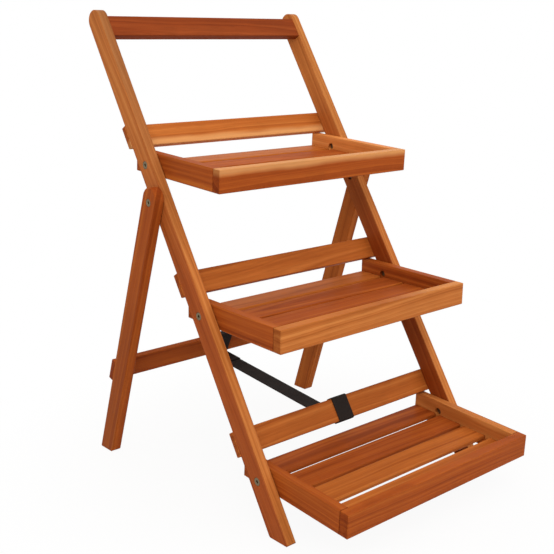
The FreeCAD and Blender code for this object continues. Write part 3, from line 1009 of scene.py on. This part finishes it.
@dataclass
class Strap:
    """One webbing band, sewn into a loop round the lower rail and another round the leg rail.

    Two shares of its free stretch mark where the band bends.
    """

    width_mm: float = 38.0
    thick_mm: float = 1.8
    rail_width_mm: float = 44.0
    seat_mm: float = 0.35
    layer_gap_mm: float = 0.15
    corner_mm: float = 3.6
    tab_mm: float = 46.0
    drawn_aside_mm: float = -10.0
    bend_from: float = 0.30
    bend_to: float = 0.985
    step_mm: float = 6.0
    arc_step_degrees: float = 15.0
    stitch_mm: float = 3.0
    stitch_share: float = 0.72
    thread_mm: float = 0.45
    thread_lift_mm: float = 0.12
    seam_inset_mm: float = 5.0
    seam_from: float = 0.12
    seam_to: float = 0.78
    run: Vector = field(init=False)
    over: Vector = field(init=False)
    near_end: Vector = field(init=False)
    far_end: Vector = field(init=False)
    bend_start: Vector = field(init=False)
    bend_end: Vector = field(init=False)

    def corner(self, rail: str, tilt: float, back: int, up: int, aside_mm: float = 0.0) -> Vector:
        """Finds a corner of the band's middle line round a rail.

        Args:
            rail: The rail's node.
            tilt: The rail's tilt in degrees.
            back: 1 for a corner behind the rail, -1 for one in front.
            up: 1 for a corner above the rail, -1 for one below.
            aside_mm: How far the band is drawn aside there.

        Returns:
            The corner.
        """
        low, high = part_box(rail)
        out = (self.seat_mm + self.thick_mm / 2) * MM
        behind = back * (RAIL_THICK_MM / 2 * MM + out)
        above = up * (self.rail_width_mm / 2 * MM + out)
        turn = Matrix.Rotation(math.radians(tilt), 3, "X")
        spot = (low + high) / 2 + turn @ Vector((0, behind, above))
        spot.x = aside_mm * MM
        return spot

    def route(self) -> list[Vector]:
        """Lays the band round both rails, and notes its direction, its ends and where it bends.

        Returns:
            The corners of the band's middle line, from the end of one tab to the end of the other.
        """
        near = [self.corner("rail_lower", LADDER_TILT, back, up)
                for back, up in ((1, 1), (-1, 1), (-1, -1), (1, -1))]
        far = [self.corner("leg_rail", LEG_TILT, back, up, self.drawn_aside_mm * share)
               for back, up, share in ((-1, -1, 1.0), (1, -1, 0.8), (1, 1, 0.2), (-1, 1, 0.1))]
        run = (far[0] - near[-1]).normalized()
        over = Vector((0, -run.z, run.y)) * (self.thick_mm + self.layer_gap_mm) * MM
        near_fold = near[-1] + over + run * self.corner_mm * MM
        far_fold = far[0] + over - run * self.corner_mm * MM
        self.run, self.over = run, over.normalized()
        self.near_end = near_fold + run * self.tab_mm * MM
        self.far_end = far_fold - run * self.tab_mm * MM
        self.bend_start = near[-1].lerp(far[0], self.bend_from)
        self.bend_end = near[-1].lerp(far[0], self.bend_to)
        return [self.near_end, near_fold, *near, *far, far_fold, self.far_end]

    def rounded(self, corners: list[Vector]) -> list[Vector]:
        """Rounds each corner with an arc and splits the straight runs into short steps.

        Args:
            corners: The corners of the band's middle line.

        Returns:
            The points of the rounded line.
        """
        points = [corners[0]]
        for before, here, after in zip(corners, corners[1:], corners[2:]):
            arriving, leaving = (here - before), (after - here)
            turn = arriving.angle(leaving)
            longest = 0.45 * min(arriving.length, leaving.length)
            reach = min(self.corner_mm * MM * math.tan(turn / 2), longest)
            start = here - arriving.normalized() * reach
            end = here + leaving.normalized() * reach
            self.walk(points, start)
            steps = max(2, round(math.degrees(turn) / self.arc_step_degrees))
            for step in range(1, steps + 1):
                share = step / steps
                points.append(start.lerp(here, share).lerp(here.lerp(end, share), share))
        self.walk(points, corners[-1])
        return points

    def walk(self, points: list[Vector], goal: Vector) -> None:
        """Adds evenly spaced points up to and with the goal.

        Args:
            points: The line so far, which grows.
            goal: The last point to add.
        """
        start = points[-1].copy()
        steps = max(1, round((goal - start).length / (self.step_mm * MM)))
        for step in range(1, steps + 1):
            points.append(start.lerp(goal, step / steps))

    def section(self) -> list[tuple[float, float]]:
        """Draws the band's outline, flat with rounded selvages.

        Returns:
            Points across the band and out of its middle line, in metres.
        """
        half, thick = self.width_mm / 2 * MM, self.thick_mm / 2 * MM
        outline = []
        for side in (1, -1):
            for step in range(7):
                angle = math.radians(-90 + 30 * step) * side
                outline.append((side * (half - thick + thick * math.cos(angle)), thick * math.sin(angle)))
            for quarter in (3, 2, 1, 0, -1, -2, -3):
                outline.append((quarter / 4 * side * (half - thick), side * thick))
        return outline

    def swept(self, points: list[Vector]) -> bpy.types.Mesh:
        """Sweeps the section along a line, with a map in metres along and across the band.

        Args:
            points: The points of the band's middle line.

        Returns:
            A closed mesh.
        """
        outline = self.section()
        mesh = bmesh.new()
        weave = mesh.loops.layers.uv.new("weave")
        loops, distances, travelled = [], [], 0.0
        for number, point in enumerate(points):
            before, after = points[max(number - 1, 0)], points[min(number + 1, len(points) - 1)]
            along = (after - before).normalized()
            out = Vector((0, -along.z, along.y))
            loops.append([mesh.verts.new(point + Vector((x, 0, 0)) + out * depth) for x, depth in outline])
            travelled += (point - before).length
            distances.append(travelled)
        rows = list(zip(loops, distances))
        for (loop, start), (next_loop, end) in zip(rows, rows[1:]):
            for i in range(len(outline)):
                j = (i + 1) % len(outline)
                face = mesh.faces.new((loop[i], loop[j], next_loop[j], next_loop[i]))
                face.smooth = True
                here, beside = outline[i][0], outline[j][0]
                places = ((start, here), (start, beside), (end, beside), (end, here))
                for face_corner, place in zip(face.loops, places):
                    face_corner[weave].uv = place
        for end_loop in (loops[0], loops[-1]):
            mesh.faces.new(end_loop)
        bmesh.ops.recalc_face_normals(mesh, faces=mesh.faces)
        data = bpy.data.meshes.new("strap")
        mesh.to_mesh(data)
        mesh.free()
        log.info("strap: %d sections, %.0f mm of webbing", len(points), travelled / MM)
        return data

    def build(self) -> None:
        """Builds the band round the lower rail and the leg rail."""
        strap = bpy.data.objects.new("strap", self.swept(self.rounded(self.route())))
        bpy.context.scene.collection.objects.link(strap)
        strap.data.materials.append(Webbing().material())
        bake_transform(strap)
        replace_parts(strap, "strap_ladder_loop", "strap_leg_loop", "strap_span")

    def seam(self, name: str, end: Vector, way: int) -> bpy.types.Object:
        """Draws a boxed cross on both faces of a tab, every line by itself.

        Args:
            name: The new object's name.
            end: The end of the tab.
            way: 1 where the tab runs on from its end towards the legs, -1 towards the ladder.

        Returns:
            An object of loose edges that isn't linked to the scene yet.
        """
        points, edges = [], []
        upper = self.thick_mm / 2 + self.thread_lift_mm
        lower = -1.5 * self.thick_mm - self.layer_gap_mm - self.thread_lift_mm
        for face_mm in (upper, lower):
            level = end + self.over * face_mm * MM
            corners = []
            box = ((-1, self.seam_from), (1, self.seam_from), (1, self.seam_to), (-1, self.seam_to))
            for side, share in box:
                across = Vector((side * (self.width_mm / 2 - self.seam_inset_mm) * MM, 0, 0))
                corners.append(level + across + self.run * way * share * self.tab_mm * MM)
            for first, second in ((0, 1), (1, 2), (2, 3), (3, 0), (0, 2), (1, 3)):
                edges.append((len(points), len(points) + 1))
                points += [corners[first], corners[second]]
        data = bpy.data.meshes.new(name)
        data.from_pydata(points, edges, [])
        return bpy.data.objects.new(name, data)

    def sew(self) -> None:
        """Sews each tab to the band with a boxed cross of stitches, seen on both faces."""
        tree = stitching_tree()
        inputs = {"Pitch": self.stitch_mm * MM, "Stitch": self.stitch_share * self.stitch_mm * MM,
                  "Thread": self.thread_mm * MM, "Finish": SewingThread().material()}
        rows = (("strap_stitches_front", self.near_end, -1), ("strap_stitches_rear", self.far_end, 1))
        for name, end, way in rows:
            made = run_tree(tree, self.seam(name + "_seam", end, way), inputs, name)
            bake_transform(made)
            log.info("%s: sewn", name)


# ---- studio ----

@dataclass(frozen=True)
class Lamp:
    """A square soft lamp."""

    name: str
    place: Place
    size: float
    power: float

    def build(self, target: Vector) -> None:
        """Hangs the lamp and points it at a target.

        Args:
            target: The point that the lamp faces.
        """
        data = bpy.data.lights.new(self.name, "AREA")
        data.size = self.size
        data.energy = self.power
        lamp = bpy.data.objects.new(self.name, data)
        lamp.location = self.place
        lamp.rotation_euler = (target - Vector(self.place)).to_track_quat("-Z", "Y").to_euler()
        bpy.context.scene.collection.objects.link(lamp)


@dataclass
class Studio:
    """A pale floor, a white surround, soft lamps and the camera."""

    floor_half: float = 6.0
    floor_colour: str = "DAD6D2"
    shadow_inner: float = 0.25
    shadow_outer: float = 0.75
    shadow_white: float = 0.93
    surround_colour: str = "FFFAF4"
    surround_strength: float = 0.62
    lamp_target: Place = (0.0, 0.0, 0.4)
    lamps: tuple[Lamp, ...] = (
        Lamp("key_lamp", (-2.1, -2.2, 2.6), 2.2, 69),
        Lamp("side_lamp", (1.9, -2.6, 2.0), 2.2, 28),
        Lamp("top_lamp", (0.1, -0.4, 3.1), 2.4, 26),
        Lamp("rear_lamp", (0.4, 3.0, 2.4), 2.4, 22),
    )
    camera_place: Place = (-1.2088, -1.3012, 0.8198)
    heading: float = 0.715
    dip: float = 0.198
    focal_pixels: float = 955.7
    axis_row: float = 230.0
    sensor_mm: float = 36.0

    def seen(self, tree: Tree) -> Socket:
        """Finds the rays that show a surface to the camera, straight, in a gloss or through glass.

        Args:
            tree: The node tree.

        Returns:
            1 for such a ray, 0 for one that only carries light.
        """
        rays = add_node(tree, "ShaderNodeLightPath").outputs
        seen = rays["Is Camera Ray"]
        for name in ("Is Glossy Ray", "Is Transmission Ray"):
            seen = add_node(tree, "ShaderNodeMath", {"operation": "MAXIMUM"}, {
                0: seen, 1: rays[name]}).outputs[0]
        return seen

    def floor_white(self, tree: Tree) -> Socket:
        """Says how white the floor looks: a faint shadow under the stand, pure white further out.

        Args:
            tree: The floor's node tree.

        Returns:
            The share of white.
        """
        place = add_node(tree, "ShaderNodeTexCoord").outputs["Object"]
        away = add_node(tree, "ShaderNodeVectorMath", {"operation": "LENGTH"}, {0: place}).outputs["Value"]
        return add_node(tree, "ShaderNodeMapRange", {"interpolation_type": "SMOOTHSTEP"}, {
            "Value": away, "From Min": self.shadow_inner, "From Max": self.shadow_outer,
            "To Min": self.shadow_white}).outputs[0]

    def floor(self) -> None:
        """A matte white floor that keeps a faint shadow."""
        half = self.floor_half
        data = bpy.data.meshes.new("floor")
        corners = [(-half, -half, 0), (half, -half, 0), (half, half, 0), (-half, half, 0)]
        data.from_pydata(corners, [], [(0, 1, 2, 3)])
        floor = bpy.data.objects.new("floor", data)
        bpy.context.scene.collection.objects.link(floor)
        material, tree = new_material("matte_white_paint")
        lit = add_node(tree, "ShaderNodeBsdfDiffuse", inputs={"Color": srgb(self.floor_colour)}).outputs[0]
        white = add_node(tree, "ShaderNodeEmission", inputs={
            "Color": srgb("FFFFFF"), "Strength": 1.0}).outputs[0]
        share = add_node(tree, "ShaderNodeMath", {"operation": "MULTIPLY"}, {
            0: self.seen(tree), 1: self.floor_white(tree)}).outputs[0]
        mixed = add_node(tree, "ShaderNodeMixShader", inputs={0: share, 1: lit, 2: white}).outputs[0]
        add_node(tree, "ShaderNodeOutputMaterial", inputs={"Surface": mixed})
        data.materials.append(material)

    def surround(self) -> None:
        """A white world, dimmer as a light than it looks."""
        world = bpy.data.worlds.new("surround")
        world.use_nodes = True
        tree = world.node_tree
        tree.nodes.clear()
        light = add_node(tree, "ShaderNodeBackground", inputs={
            "Color": srgb(self.surround_colour), "Strength": self.surround_strength}).outputs[0]
        white = add_node(tree, "ShaderNodeBackground", inputs={
            "Color": srgb("FFFFFF"), "Strength": 1.0}).outputs[0]
        mixed = add_node(tree, "ShaderNodeMixShader", inputs={
            0: self.seen(tree), 1: light, 2: white}).outputs[0]
        add_node(tree, "ShaderNodeOutputWorld", inputs={"Surface": mixed})
        bpy.context.scene.world = world

    def camera(self) -> None:
        """The camera at the photograph's place, its lens shifted up as the photograph's is."""
        data = bpy.data.cameras.new("camera")
        data.sensor_width = self.sensor_mm
        data.lens = self.focal_pixels / PHOTO_PIXELS * self.sensor_mm
        data.shift_y = (self.axis_row - PHOTO_PIXELS / 2) / PHOTO_PIXELS
        camera = bpy.data.objects.new("camera", data)
        camera.location = self.camera_place
        level = math.cos(self.dip)
        aim = Vector((math.sin(self.heading) * level, math.cos(self.heading) * level, -math.sin(self.dip)))
        camera.rotation_euler = aim.to_track_quat("-Z", "Y").to_euler()
        bpy.context.scene.collection.objects.link(camera)
        bpy.context.scene.camera = camera

    def build(self) -> None:
        """Sets up the whole studio."""
        self.floor()
        self.surround()
        for lamp in self.lamps:
            lamp.build(Vector(self.lamp_target))
        self.camera()
        bpy.context.scene.view_settings.view_transform = "Standard"
        log.info("studio: floor, surround, %d lamps and camera made", len(self.lamps))


def main() -> None:
    """Builds and dresses the stand, then the studio."""
    logging.basicConfig(level=logging.INFO, format="%(name)s: %(message)s")
    ladder_frame().dress()
    leg_frame().dress()
    fasteners = Fasteners()
    fasteners.pivot_bolts()
    fasteners.rail_screws()
    for tray in TRAYS:
        tray.frame().dress()
        fasteners.slat_screws(tray)
    for node in ("tray_pivot_nuts", "leg_pivot_nuts"):
        dress_node(node, fasteners.finish)
    strap = Strap()
    strap.build()
    strap.sew()
    Studio().build()


if __name__ == "__main__":
    main()
